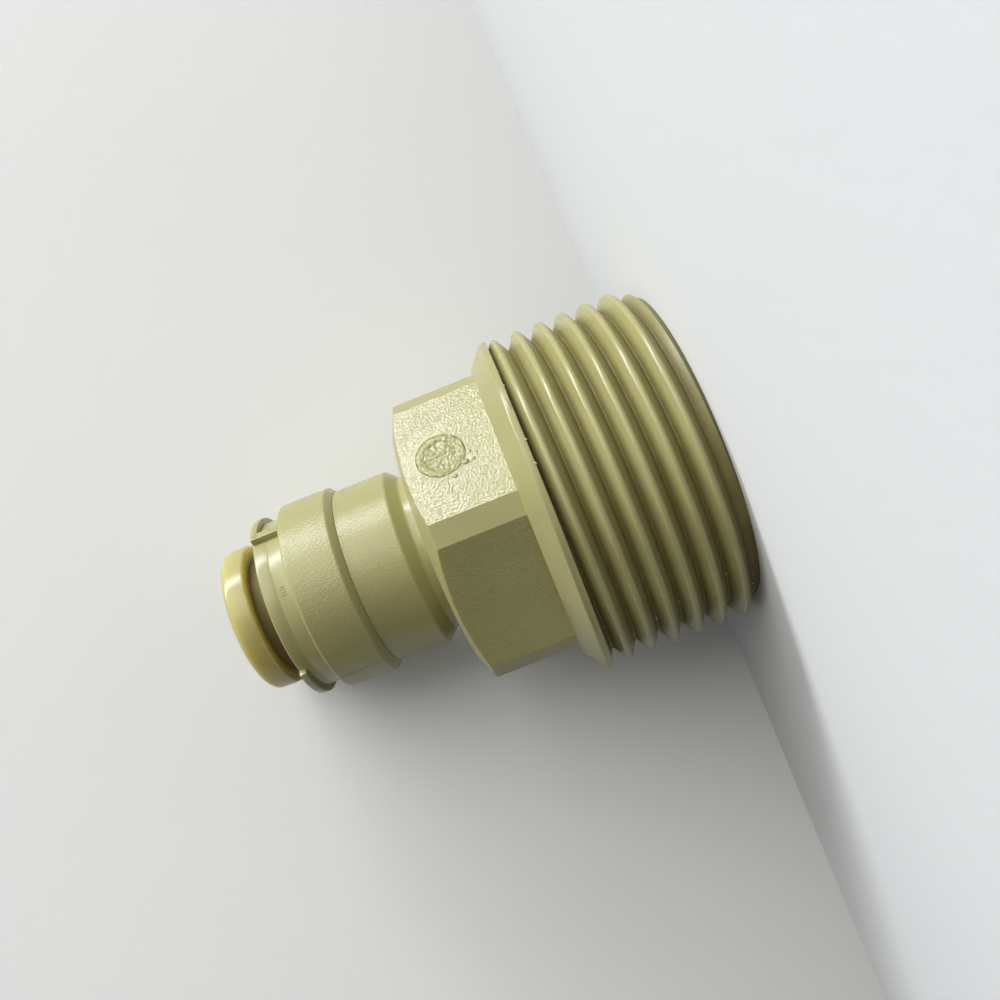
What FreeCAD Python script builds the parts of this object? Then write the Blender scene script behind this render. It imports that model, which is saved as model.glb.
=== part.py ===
import FreeCAD, Part
import math
import os
import re
import Sketcher

# Push-in tube connector with a male pipe thread, in millimetres.
# The part stands on its thread end: the end face is at height zero, the axis is +Z
# and the tube goes in from the top.  Angles run anticlockwise from +X, seen from above.

SIZES = [
    # pipe thread, right-handed, 14 turns to the inch
    ("thread_major", 26.4, "diameter over the crests"),
    ("thread_pitch", 1.814, "from one crest to the next"),
    ("thread_depth", 1.16, "crest to root"),
    ("crest_width", 0.34, "flat along the top of the ridge"),
    ("first_crest", 0.43, "height of the first crest, above the X axis"),
    ("thread_length", 11.8, "end face to the underside of the flange"),
    ("lead_in", 1.2, "chamfer at the start of the thread"),
    # sealing flange
    ("flange_overhang", 0.1, "rim beyond the crests"),
    ("flange_land", 0.5, "straight part of the rim"),
    ("flange_rise", 1.25, "height of the cone behind the rim"),
    # spanner hexagon
    ("hex_flats", 21.0, "across the flats"),
    ("hex_height", 7.25, "shoulder to the top face"),
    ("hex_bevel", 1.72, "flat on each corner"),
    ("hex_ledge", 0.04, "shoulder outside the corners"),
    ("hex_top_set_in", 0.9, "round top face inside the flats"),
    ("hex_top_angle", 24.0, "slope of the top chamfer, in degrees"),
    ("mark_diameter", 3.6, "round mould mark on one flat"),
    ("mark_depth", 0.1, "depth of that mark"),
    ("mark_drop", 3.2, "its centre below the hexagon's top face"),
    # neck and socket
    ("neck_set_in", 0.8, "neck inside the socket's outside"),
    ("neck_height", 1.05, "hexagon to the socket"),
    ("socket_wall", 1.03, "round the cap's sleeve"),
    ("socket_height", 4.95, "neck to the mouth"),
    ("socket_cone", 0.85, "height of the cone at its foot"),
    # water way, from the tube stop down to the open thread end
    ("thread_wall", 2.4, "wall inside the thread roots"),
    ("hex_wall", 2.7, "wall inside the hexagon's flats"),
    ("stop_wall", 2.4, "between the hollow thread end and the tube stop"),
    ("waterway_diameter", 4.5, "hole from the tube stop to the hollow end"),
    # tube, seal and their seats
    ("tube_diameter", 6.35, "outside of the tube that fits"),
    ("tube_play", 0.075, "gap all round the tube in its bores"),
    ("tube_seat", 2.95, "depth of the bore below the seal"),
    ("seal_cord", 1.78, "thickness of the O-ring"),
    ("seal_squeeze", 0.12, "how far the tube presses the cord"),
    ("seal_play", 0.17, "room above the cord in its seat"),
    ("seal_gap", 0.02, "between the free ring and its seat"),
    # end cap
    ("spigot_wall", 0.8, "sleeve of the cap, outside the cam"),
    ("spigot_length", 2.3, "depth of that sleeve in the socket"),
    ("spigot_gap", 0.02, "all round the sleeve"),
    ("cap_overhang", 0.5, "large ring beyond the socket"),
    ("cap_height", 4.25, "socket mouth to the front of the large ring"),
    ("cap_cone", 0.5, "height of the cone down to the socket"),
    ("nose_set_in", 0.8, "nose ring inside the large ring"),
    ("nose_height", 2.27, "large ring to the nose's front face"),
    # two ears on the nose, for a locking clip
    ("ear_stand", 0.5, "how far the ears stand out from the nose"),
    ("ear_angle", 86.0, "degrees round the nose"),
    ("ear_wall", 0.55, "thickness of the front wall"),
    ("ear_stop_angle", 6.0, "degrees taken by the closed end"),
    ("ear_turn_angle", 137.0, "place of the first ear's closed end, in degrees"),
    # collet
    ("collet_lip", 1.35, "release flange beyond the sleeve"),
    ("collet_rim", 1.85, "thickness of the release flange"),
    ("collet_edge", 0.4, "chamfer on the flange's front edge"),
    ("collet_mouth", 0.35, "chamfer where the tube goes in"),
    ("release_travel", 1.45, "how far the collet pushes in"),
    ("sleeve_wall", 1.05, "thickness of the collet's sleeve"),
    ("sleeve_gap", 0.08, "between the sleeve and the cap"),
    ("head_swell", 0.8, "how much wider each finger's head is, on the radius"),
    ("head_cone", 2.9, "height of the head's cone"),
    ("head_land", 0.3, "straight foot of the head"),
    ("head_gap", 0.05, "between the head and the cam inside the cap"),
    ("foot_gap", 0.15, "left under the fingers when pushed right in"),
    ("slot_width", 1.0, "gap between two fingers"),
    ("slot_length", 5.6, "foot of the fingers to the slot's end"),
    # grip teeth
    ("tooth_bite", 0.14, "how far an edge stands in the tube's wall"),
    ("tooth_root", 1.05, "depth of a tooth in its finger"),
    ("tooth_thick", 0.4, "thickness of the steel"),
    ("tooth_edge", 0.08, "thickness left at the edge"),
    ("tooth_angle", 56.0, "degrees round the bore"),
    ("tooth_raise", 1.2, "above the foot of the fingers"),
    ("tooth_gap", 0.02, "behind and beside a tooth in its pocket"),
]

THREAD_SIDES = 30  # one turn of the thread is drawn with this many straight stretches
FINGERS = 4
EARS = 2
HEX_CORNERS = 6
CORD_SIDES = 11    # the ring's round cord is drawn with this many sides
SUNK = "0.05"      # overlap of a feature with the one that it grows from
TOUCHING = 0.001   # two places closer than this are the same

# heights and radii that several pieces share, as formulas in the sheet's names
LAND_TOP = "(thread_length + flange_land)"
HEX_BASE = f"({LAND_TOP} + flange_rise)"
HEX_TOP = f"({HEX_BASE} + hex_height)"
NECK_TOP = f"({HEX_TOP} + neck_height)"
MOUTH = f"({NECK_TOP} + socket_height)"
SPIGOT_FOOT = f"({MOUTH} - spigot_length)"
SEAL_SEAT = f"({SPIGOT_FOOT} - seal_cord - seal_play)"
TUBE_STOP = f"({SEAL_SEAT} - tube_seat)"
HOLLOW_ROOF = f"({TUBE_STOP} - stop_wall)"
CAP_FRONT = f"({MOUTH} + cap_height)"
NOSE_FRONT = f"({CAP_FRONT} + nose_height)"
COLLET_BACK = f"({NOSE_FRONT} + release_travel)"
COLLET_FRONT = f"({COLLET_BACK} + collet_rim)"
FINGER_FOOT = f"({SPIGOT_FOOT} + release_travel + foot_gap)"
HEAD_BASE = f"({FINGER_FOOT} + head_land)"
HEAD_TOP = f"({HEAD_BASE} + head_cone)"
SLOT_TOP = f"({FINGER_FOOT} + slot_length)"
TOOTH_BASE = f"({FINGER_FOOT} + tooth_raise)"

# from the thread inwards
CREST_RADIUS = "(thread_major / 2)"
RIM_RADIUS = f"({CREST_RADIUS} + flange_overhang)"
HOLLOW_RADIUS = f"({CREST_RADIUS} - thread_depth - thread_wall)"
FLAT_RADIUS = "(hex_flats / 2)"
HEX_HOLLOW_RADIUS = f"({FLAT_RADIUS} - hex_wall)"
HEX_FACE_RADIUS = f"({FLAT_RADIUS} - hex_top_set_in)"
BEVEL_RADIUS = "(hex_flats / sqrt(3) - hex_bevel / 2 * tan(30 deg))"
SHOULDER_RADIUS = f"(sqrt({BEVEL_RADIUS}^2 + hex_bevel^2 / 4) + hex_ledge)"
WATERWAY_RADIUS = "(waterway_diameter / 2)"

# from the tube outwards
BITE_RADIUS = "(tube_diameter / 2 - tooth_bite)"
TUBE_BORE = "(tube_diameter / 2 + tube_play)"
TOOTH_BACK = f"({TUBE_BORE} + tooth_root)"
SEAL_SEAT_RADIUS = "(tube_diameter / 2 + seal_cord - seal_squeeze)"
SLEEVE_RADIUS = f"({TUBE_BORE} + sleeve_wall)"
LIP_RADIUS = f"({SLEEVE_RADIUS} + collet_lip)"
HEAD_RADIUS = f"({SLEEVE_RADIUS} + head_swell)"
GUIDE_RADIUS = f"({SLEEVE_RADIUS} + sleeve_gap)"
CAM_RADIUS = f"({HEAD_RADIUS} + head_gap)"
CAM_TOP = f"({HEAD_TOP} - (sleeve_gap - head_gap) * head_cone / head_swell)"
SPIGOT_RADIUS = f"({CAM_RADIUS} + spigot_wall)"
SOCKET_BORE = f"({SPIGOT_RADIUS} + spigot_gap)"
SOCKET_RADIUS = f"({SOCKET_BORE} + socket_wall)"
NECK_RADIUS = f"({SOCKET_RADIUS} - neck_set_in)"
CAP_RADIUS = f"({SOCKET_RADIUS} + cap_overhang)"
NOSE_RADIUS = f"({CAP_RADIUS} - nose_set_in)"
EAR_RADIUS = f"({NOSE_RADIUS} + ear_stand)"

doc = FreeCAD.newDocument("tube_connector")
sheet = doc.addObject("Spreadsheet::Sheet", "sizes")
for row, (alias, number, meaning) in enumerate(SIZES, 1):
    sheet.set(f"A{row}", meaning)
    sheet.set(f"B{row}", str(number))
    sheet.setAlias(f"B{row}", alias)
doc.recompute()

ALIASES = re.compile(r"\b(" + "|".join(alias for alias, _, _ in SIZES) + r")\b")


def formula(text):
    """Turn names of sizes into references to the sheet."""
    return ALIASES.sub(r"sizes.\1", text)


def value(text):
    return float(sheet.evalExpression(formula(text)))


def origin_feature(body, role):
    return next(item for item in body.Origin.OriginFeatures if item.Role == role)


def new_body(label):
    body = doc.addObject("PartDesign::Body", label)
    body.Label = label
    return body


def new_sketch(body, name, plane):
    sketch = body.newObject("Sketcher::SketchObject", name)
    sketch.AttachmentSupport = [(origin_feature(body, plane), "")]
    sketch.MapMode = "FlatFace"
    return sketch


def pin_point(sketch, line, end, across, up):
    """Hold one end of a line at a place given by two formulas."""
    for kind, axis, text in (("DistanceX", -2, across), ("DistanceY", -1, up)):
        if text == "0":
            sketch.addConstraint(Sketcher.Constraint("PointOnObject", line, end, axis))
            continue
        made = sketch.addConstraint(Sketcher.Constraint(kind, -1, 1, line, end, value(text)))
        sketch.setExpression(f"Constraints[{made}]", formula(text))


def outline(body, name, plane, corners):
    """Closed sketch of straight lines through corners, each given as two formulas."""
    sketch = new_sketch(body, name, plane)
    places = [FreeCAD.Vector(value(across), value(up), 0) for across, up in corners]
    count = len(corners)
    for index in range(count):
        line = Part.LineSegment(places[index], places[(index + 1) % count])
        sketch.addGeometry(line, False)
    for index in range(count):
        following = (index + 1) % count
        sketch.addConstraint(Sketcher.Constraint("Coincident", index, 2, following, 1))
    for index, (across, up) in enumerate(corners):
        pin_point(sketch, index, 1, across, up)
    doc.recompute()
    return sketch


def turned(body, kind, name, corners, degrees=None):
    """Revolution or Groove of an outline drawn in the XZ plane, about the Z axis."""
    sketch = outline(body, name + "_profile", "XZ_Plane", corners)
    feature = body.newObject("PartDesign::" + kind, name)
    feature.Profile = sketch
    feature.ReferenceAxis = (sketch, ["V_Axis"])
    feature.Angle = 360
    if degrees:
        feature.setExpression("Angle", formula(degrees))
    doc.recompute()
    return feature


def chamfer_ring(body, name, base, radius, height, size):
    """Chamfer on the circular edge that lies at a radius and height, given as formulas."""
    edges = []
    for index, edge in enumerate(base.Shape.Edges, 1):
        if edge.Curve.TypeId != "Part::GeomCircle":
            continue
        off_radius = abs(edge.Curve.Radius - value(radius))
        off_height = abs(edge.Curve.Center.z - value(height))
        if max(off_radius, off_height) < TOUCHING:
            edges.append(f"Edge{index}")
    feature = body.newObject("PartDesign::Chamfer", name)
    feature.Base = (base, edges)
    feature.setExpression("Size", formula(size))
    doc.recompute()


def pattern(body, name, originals, copies):
    feature = body.newObject("PartDesign::PolarPattern", name)
    feature.Originals = originals
    feature.Axis = (origin_feature(body, "Z_Axis"), [""])
    feature.Angle = 360
    feature.Occurrences = copies
    body.Tip = feature
    doc.recompute()
    return feature


# Threaded rod: a ridge wound round a core, with sections that repeat at equal turns.
# Between two sections every face is flat, so each flank has two triangles there.
def thread_point(radius, step, height):
    turn = math.tau / THREAD_SIDES * step
    rise = value("thread_pitch") / THREAD_SIDES * step
    return FreeCAD.Vector(radius * math.cos(turn), radius * math.sin(turn), height + rise)


def thread_section(step):
    """Ridge's outline at one step: root, crest's lower and upper edges, next root."""
    root = value(f"{CREST_RADIUS} - thread_depth")
    crest = value(CREST_RADIUS)
    return [
        thread_point(root, step, value("first_crest - thread_pitch / 2")),
        thread_point(crest, step, value("first_crest - crest_width / 2")),
        thread_point(crest, step, value("first_crest + crest_width / 2")),
        thread_point(root, step, value("first_crest + thread_pitch / 2")),
    ]


def flat_face(*points):
    return Part.Face(Part.makePolygon([*points, points[0]]))


def ridge_faces(section, following):
    root, low, high, next_root = section
    root_on, low_on, high_on, next_root_on = following
    return [
        flat_face(root, root_on, low_on),
        flat_face(root, low_on, low),
        flat_face(low, low_on, high_on, high),
        flat_face(high, high_on, next_root_on),
        flat_face(high, next_root_on, next_root),
    ]


def end_faces(hub, section, roots):
    """Close one end: the ridge's own end, and a fan from the axis to one turn of root."""
    fan = [flat_face(hub, start, end) for start, end in zip(roots, roots[1:])]
    return [flat_face(hub, *section), *fan]


def threaded_rod():
    """Rod that reaches at least one pitch past both ends of the thread."""
    spare = value("(first_crest + thread_pitch) / thread_pitch")
    turns = math.ceil(value("thread_length / thread_pitch") + 2 * spare) + 2
    first = -THREAD_SIDES * math.ceil(spare + 1)
    sections = [thread_section(first + step) for step in range(THREAD_SIDES * turns + 1)]
    faces = []
    for section, following in zip(sections, sections[1:]):
        faces += ridge_faces(section, following)
    lower_roots = [section[0] for section in sections[:THREAD_SIDES + 1]]
    upper_roots = [section[-1] for section in sections[-THREAD_SIDES - 1:]]
    faces += end_faces(thread_point(0, first, 0), sections[0], lower_roots)
    faces += end_faces(thread_point(0, first + len(sections) - 1, 0), sections[-1], upper_roots)
    shell = Part.makeShell(faces)
    shell.sewShape()
    return Part.makeSolid(shell)


rod = doc.addObject("Part::Feature", "threaded_rod")
rod.Shape = threaded_rod()

# Body: thread end, flange, hexagon, neck and socket in one moulding
body = new_body("body")

# The thread is what the rod and this chamfered prism share.
corners = []
for step in range(THREAD_SIDES):
    turn = f"({360 / THREAD_SIDES} * {step}) * 1 deg"
    corners.append((f"({CREST_RADIUS} + lead_in) * cos({turn})",
                    f"({CREST_RADIUS} + lead_in) * sin({turn})"))
thread_space = body.newObject("PartDesign::Pad", "thread_space")
thread_space.Profile = outline(body, "thread_space_profile", "XY_Plane", corners)
thread_space.setExpression("Length", formula("thread_length"))
doc.recompute()
start_chamfer = body.newObject("PartDesign::Chamfer", "start_chamfer")
start_chamfer.Base = (thread_space, [
    f"Edge{index}" for index, edge in enumerate(thread_space.Shape.Edges, 1)
    if edge.BoundBox.ZMax < TOUCHING])
start_chamfer.setExpression("Size", formula("2 * lead_in"))
doc.recompute()
thread = body.newObject("PartDesign::Boolean", "thread")
thread.Type = "Common"
thread.setObjects([rod])
doc.recompute()

turned(body, "Revolution", "blank", [
    ("0", "thread_length"),
    (RIM_RADIUS, "thread_length"),
    (RIM_RADIUS, LAND_TOP),
    (SHOULDER_RADIUS, HEX_BASE),
    (NECK_RADIUS, HEX_BASE),
    (NECK_RADIUS, NECK_TOP),
    (SOCKET_RADIUS, f"{NECK_TOP} + socket_cone"),
    (SOCKET_RADIUS, MOUTH),
    ("0", MOUTH),
])

# The hexagon's corners lie on the Y axis, each cut to a narrow flat.
corners = []
for step in range(HEX_CORNERS):
    turn = f"({360 / HEX_CORNERS} * {step} + 90) * 1 deg"
    for side in ("-", "+"):
        across = f"{BEVEL_RADIUS} * cos({turn}) - ({side}hex_bevel / 2) * sin({turn})"
        up = f"{BEVEL_RADIUS} * sin({turn}) + ({side}hex_bevel / 2) * cos({turn})"
        corners.append((across, up))
hexagon_profile = outline(body, "hexagon_profile", "XY_Plane", corners)
hexagon_profile.setExpression("AttachmentOffset.Base.z", formula(HEX_BASE))
hexagon = body.newObject("PartDesign::Pad", "hexagon")
hexagon.Profile = hexagon_profile
hexagon.setExpression("Length", formula("hex_height"))
doc.recompute()

turned(body, "Groove", "hexagon_top", [
    (HEX_FACE_RADIUS, HEX_TOP),
    (f"{HEX_FACE_RADIUS} + hex_flats / 2", HEX_TOP),
    (f"{HEX_FACE_RADIUS} + hex_flats / 2", f"{HEX_TOP} - hex_flats / 2 * tan(hex_top_angle * 1 deg)"),
])

mark_turn = f"({180 / HEX_CORNERS} * 1 deg)"
mark_profile = new_sketch(body, "mark_profile", "XZ_Plane")
circle = Part.Circle(FreeCAD.Vector(0, value(f"{HEX_TOP} - mark_drop"), 0), FreeCAD.Vector(0, 0, 1),
                     value("mark_diameter / 2"))
mark_profile.addGeometry(circle, False)
pin_point(mark_profile, 0, 3, "0", f"{HEX_TOP} - mark_drop")
made = mark_profile.addConstraint(Sketcher.Constraint("Diameter", 0, value("mark_diameter")))
mark_profile.setExpression(f"Constraints[{made}]", formula("mark_diameter"))
mark_profile.AttachmentOffset = FreeCAD.Placement(
    FreeCAD.Vector(0, 0, 0), FreeCAD.Rotation(FreeCAD.Vector(0, 1, 0), 180 / HEX_CORNERS))
mark_profile.setExpression("AttachmentOffset.Base.x", formula(f"{FLAT_RADIUS} * sin({mark_turn})"))
mark_profile.setExpression("AttachmentOffset.Base.z", formula(f"{FLAT_RADIUS} * cos({mark_turn})"))
mark = body.newObject("PartDesign::Pocket", "mould_mark")
mark.Profile = mark_profile
mark.setExpression("Length", formula("mark_depth"))
doc.recompute()

# Hollow thread end, water way, tube seat, seal seat and socket, from the bottom up.
turned(body, "Groove", "water_way", [
    ("0", "0"),
    (HOLLOW_RADIUS, "0"),
    (HOLLOW_RADIUS, "thread_length"),
    (HEX_HOLLOW_RADIUS, "thread_length"),
    (HEX_HOLLOW_RADIUS, HOLLOW_ROOF),
    (WATERWAY_RADIUS, HOLLOW_ROOF),
    (WATERWAY_RADIUS, TUBE_STOP),
    (TUBE_BORE, TUBE_STOP),
    (TUBE_BORE, SEAL_SEAT),
    (SEAL_SEAT_RADIUS, SEAL_SEAT),
    (SEAL_SEAT_RADIUS, SPIGOT_FOOT),
    (SOCKET_BORE, SPIGOT_FOOT),
    (SOCKET_BORE, MOUTH),
    ("0", MOUTH),
])


# End cap: ring, nose with two clip ears, sleeve in the socket and the cam for the fingers
cap = new_body("end_cap")

turned(cap, "Revolution", "ring", [
    (SPIGOT_RADIUS, SPIGOT_FOOT),
    (SPIGOT_RADIUS, MOUTH),
    (SOCKET_RADIUS, MOUTH),
    (CAP_RADIUS, f"{MOUTH} + cap_cone"),
    (CAP_RADIUS, CAP_FRONT),
    (NOSE_RADIUS, CAP_FRONT),
    (NOSE_RADIUS, NOSE_FRONT),
    (GUIDE_RADIUS, NOSE_FRONT),
    (GUIDE_RADIUS, CAM_TOP),
    (CAM_RADIUS, HEAD_BASE),
    (CAM_RADIUS, SPIGOT_FOOT),
])

ear_wall = turned(cap, "Revolution", "ear_front", [
    (f"{NOSE_RADIUS} - {SUNK}", f"{NOSE_FRONT} - ear_wall"),
    (EAR_RADIUS, f"{NOSE_FRONT} - ear_wall"),
    (EAR_RADIUS, NOSE_FRONT),
    (f"{NOSE_RADIUS} - {SUNK}", NOSE_FRONT),
], "ear_angle")
ear_end = turned(cap, "Revolution", "ear_end", [
    (f"{NOSE_RADIUS} - {SUNK}", CAP_FRONT),
    (EAR_RADIUS, CAP_FRONT),
    (EAR_RADIUS, NOSE_FRONT),
    (f"{NOSE_RADIUS} - {SUNK}", NOSE_FRONT),
], "ear_stop_angle")
pattern(cap, "ears", [ear_wall, ear_end], EARS)
cap.Placement = FreeCAD.Placement(
    FreeCAD.Vector(0, 0, 0), FreeCAD.Rotation(FreeCAD.Vector(0, 0, 1), value("ear_turn_angle")))
cap.setExpression("Placement.Rotation.Angle", formula("ear_turn_angle * 1 deg"))


# Collet: release flange, sleeve and sprung fingers with cone-shaped heads
collet = new_body("collet")

sleeve = turned(collet, "Revolution", "sleeve", [
    (TUBE_BORE, FINGER_FOOT),
    (HEAD_RADIUS, FINGER_FOOT),
    (HEAD_RADIUS, HEAD_BASE),
    (SLEEVE_RADIUS, HEAD_TOP),
    (SLEEVE_RADIUS, COLLET_BACK),
    (LIP_RADIUS, COLLET_BACK),
    (LIP_RADIUS, COLLET_FRONT),
    (f"{TUBE_BORE} + collet_mouth", COLLET_FRONT),
    (TUBE_BORE, f"{COLLET_FRONT} - collet_mouth"),
])
chamfer_ring(collet, "flange_front", sleeve, LIP_RADIUS, COLLET_FRONT, "collet_edge")

tooth_pocket = turned(collet, "Groove", "tooth_pocket", [
    (f"{TUBE_BORE} - 1", TOOTH_BASE),
    (f"{TOOTH_BACK} + tooth_gap", TOOTH_BASE),
    (f"{TOOTH_BACK} + tooth_gap", f"{TOOTH_BASE} + tooth_thick"),
    (f"{TUBE_BORE} - 1", f"{TOOTH_BASE} + tooth_thick"),
], "tooth_angle + 2 * tooth_gap / tube_diameter * 180")
tooth_pocket.Midplane = True
pattern(collet, "tooth_pockets", [tooth_pocket], FINGERS)

# One slot outline, cut right through, makes two gaps that face each other.
slot_round = f"({SLOT_TOP} - slot_width / 2)"
slot_profile = new_sketch(collet, "slot_profile", "XZ_Plane")
half_slot = value("slot_width / 2")
slot_shoulder = value(slot_round)
slot_foot = value(f"{FINGER_FOOT} - 1")
places = [
    FreeCAD.Vector(half_slot, slot_shoulder, 0),
    FreeCAD.Vector(half_slot, slot_foot, 0),
    FreeCAD.Vector(-half_slot, slot_foot, 0),
    FreeCAD.Vector(-half_slot, slot_shoulder, 0),
]
for start, end in zip(places, places[1:]):
    slot_profile.addGeometry(Part.LineSegment(start, end), False)
crown = FreeCAD.Vector(0, value(SLOT_TOP), 0)
slot_profile.addGeometry(Part.Arc(places[0], crown, places[3]), False)
for index in range(2):
    slot_profile.addConstraint(Sketcher.Constraint("Coincident", index, 2, index + 1, 1))
slot_profile.addConstraint(Sketcher.Constraint("Coincident", 3, 1, 0, 1))
slot_profile.addConstraint(Sketcher.Constraint("Coincident", 3, 2, 2, 2))
pin_point(slot_profile, 0, 1, "slot_width / 2", slot_round)
pin_point(slot_profile, 1, 1, "slot_width / 2", f"{FINGER_FOOT} - 1")
pin_point(slot_profile, 2, 1, "-slot_width / 2", f"{FINGER_FOOT} - 1")
pin_point(slot_profile, 2, 2, "-slot_width / 2", slot_round)
made = slot_profile.addConstraint(Sketcher.Constraint("DistanceY", -1, 1, 3, 3, slot_shoulder))
slot_profile.setExpression(f"Constraints[{made}]", formula(slot_round))
slot_profile.AttachmentOffset = FreeCAD.Placement(
    FreeCAD.Vector(0, 0, 0), FreeCAD.Rotation(FreeCAD.Vector(0, 1, 0), 180 / FINGERS))
slot = collet.newObject("PartDesign::Pocket", "slot")
slot.Profile = slot_profile
slot.Type = "ThroughAll"
slot.Midplane = True
doc.recompute()
pattern(collet, "slots", [slot], FINGERS)


# Grip teeth: one steel insert in each finger
for number in range(1, FINGERS + 1):
    tooth = new_body(f"grip_tooth_{number}")
    insert = turned(tooth, "Revolution", f"insert_{number}", [
        (BITE_RADIUS, TOOTH_BASE),
        (TOOTH_BACK, TOOTH_BASE),
        (TOOTH_BACK, f"{TOOTH_BASE} + tooth_thick"),
        (TUBE_BORE, f"{TOOTH_BASE} + tooth_thick"),
        (BITE_RADIUS, f"{TOOTH_BASE} + tooth_edge"),
    ], "tooth_angle")
    insert.Midplane = True
    turn = 360 / FINGERS * (number - 1)
    tooth.Placement = FreeCAD.Placement(
        FreeCAD.Vector(0, 0, 0), FreeCAD.Rotation(FreeCAD.Vector(0, 0, 1), turn))


# O-ring: free in its seat until the tube presses it
seal = new_body("o_ring")
CORD_MIDDLE = f"({SEAL_SEAT_RADIUS} - seal_gap - seal_cord / 2)"
CORD_HEIGHT = f"({SEAL_SEAT} + seal_gap + seal_cord / 2)"
cord = []
for step in range(CORD_SIDES):
    turn = f"({360 / CORD_SIDES} * {step}) * 1 deg"
    cord.append((f"{CORD_MIDDLE} + seal_cord / 2 * cos({turn})",
                 f"{CORD_HEIGHT} + seal_cord / 2 * sin({turn})"))
turned(seal, "Revolution", "cord", cord)

doc.recompute()
for item in doc.Objects:
    if "Invalid" in item.State or "Error" in item.State:
        raise RuntimeError(f"{item.Name} did not build: {item.State}")

pieces = [item for item in doc.Objects if item.TypeId == "PartDesign::Body"]
for piece in pieces:
    shape = piece.Shape
    if shape.isNull() or not shape.isValid() or len(shape.Solids) != 1:
        raise RuntimeError(f"{piece.Label} is not one valid solid")

os.makedirs("parts", exist_ok=True)
for piece in pieces:
    piece.Shape.exportStep(f"parts/{piece.Label}.step")
    print(piece.Label, round(piece.Shape.Volume, 2), "mm3")
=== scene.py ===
import math

import bmesh
import bpy
from mathutils import Matrix, Vector, noise


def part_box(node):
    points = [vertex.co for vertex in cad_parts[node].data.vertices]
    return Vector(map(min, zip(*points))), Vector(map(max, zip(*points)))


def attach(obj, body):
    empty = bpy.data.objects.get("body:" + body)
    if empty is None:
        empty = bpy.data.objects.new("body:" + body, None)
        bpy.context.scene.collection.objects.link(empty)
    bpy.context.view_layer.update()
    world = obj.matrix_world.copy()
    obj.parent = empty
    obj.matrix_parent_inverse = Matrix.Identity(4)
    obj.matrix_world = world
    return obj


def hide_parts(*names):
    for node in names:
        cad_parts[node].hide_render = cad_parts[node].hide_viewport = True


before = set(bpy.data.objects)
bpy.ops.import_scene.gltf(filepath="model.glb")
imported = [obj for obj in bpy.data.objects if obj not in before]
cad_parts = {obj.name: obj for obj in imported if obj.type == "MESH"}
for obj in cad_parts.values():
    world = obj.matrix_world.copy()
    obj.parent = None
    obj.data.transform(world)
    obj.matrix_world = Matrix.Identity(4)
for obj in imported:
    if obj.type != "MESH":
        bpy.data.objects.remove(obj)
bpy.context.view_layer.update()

# Lengths are in millimetres up to mm(), which turns them into the scene's metres.
# Heights are above the thread's end face; angles run anticlockwise from +X, in degrees.
MILLIMETRE = 0.001


def mm(length):
    return length * MILLIMETRE


def top_of(node):
    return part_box(node)[1].z / MILLIMETRE


def foot_of(node):
    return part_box(node)[0].z / MILLIMETRE


# Heights
FLANGE_FOOT = 11.8
LAND_TOP = 12.3
HEX_BASE = 13.55
HEX_TOP = 20.8
NECK_TOP = 21.85
SOCKET_CONE = 22.7
MOUTH = top_of("body")
SPIGOT_FOOT = foot_of("end_cap")
CAP_FRONT = MOUTH + 4.25
NOSE_FRONT = top_of("end_cap")
CAM_FOOT = 26.4
CAM_TOP = 29.19
COLLET_BACK = 34.77
COLLET_FRONT = top_of("collet")
FINGER_FOOT = foot_of("collet")
HEAD_TOP = 29.3
SLOT_TOP = 31.7
TOOTH_BASE = foot_of("grip_tooth_1")
TOOTH_TOP = top_of("grip_tooth_1")
SEAL_SEAT = 22.55
SEAL_MIDDLE = 23.46
TUBE_STOP = 19.6
HOLLOW_ROOF = 17.2

# Radii
CREST = 13.2
ROOT = 12.04
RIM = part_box("body")[1].x / MILLIMETRE
HOLLOW = 9.64
HEX_FLAT = 10.5
HEX_BEVEL = 1.72
HEX_FACE = 9.6
HEX_HOLLOW = 7.8
SHOULDER = 11.7
NECK = 6.2
SOCKET = 7.0
SPIGOT = 5.95
CAP = 7.5
NOSE = 6.7
EAR = 7.2
GUIDE = 4.38
CAM = 5.15
SLEEVE = 4.3
HEAD = 5.1
LIP = 5.65
TUBE_BORE = 3.25
TOOTH_BACK = 4.32
SEAL_RADIUS = 4.835
SEAL_CORD = 0.89
WATERWAY = 2.25

# Thread
PITCH = 1.814
FIRST_CREST = 0.43
CREST_WIDTH = 0.34
LEAD_IN = 1.2
STEPS = 180

# Hexagon, its round mark and the mould's parting line
HEX_SLOPE = math.radians(24)
MARK_TURN = -60
MARK_HEIGHT = 17.6
MARK_RADIUS = 1.8
MARK_DEPTH = 0.1
PARTING_TURN = -150

# Points closer than this are joined, and edges bent further than this stay crisp
WELD = 0.002
SHARP_ANGLE = math.radians(38)


# Shape tools

def wire(mesh, corners, closed=True):
    """Outline in the XZ plane through (radius, height, rounding), its corners rounded."""
    points = [mesh.verts.new((mm(radius), 0, mm(height))) for radius, height, _ in corners]
    ends = points[1:] + points[:1] if closed else points[1:]
    for start, end in zip(points, ends):
        mesh.edges.new((start, end))
    for size in sorted({corner[2] for corner in corners if corner[2]}):
        chosen = [point for point, corner in zip(points, corners) if corner[2] == size]
        bmesh.ops.bevel(mesh, geom=chosen, offset=mm(size), offset_type="OFFSET", segments=4,
                        profile=0.5, affect="VERTICES", material=-1)


def tidy(mesh):
    """Join the points that meet and turn every face outwards."""
    bmesh.ops.remove_doubles(mesh, verts=mesh.verts[:], dist=mm(WELD))
    bmesh.ops.recalc_face_normals(mesh, faces=mesh.faces[:])


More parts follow.
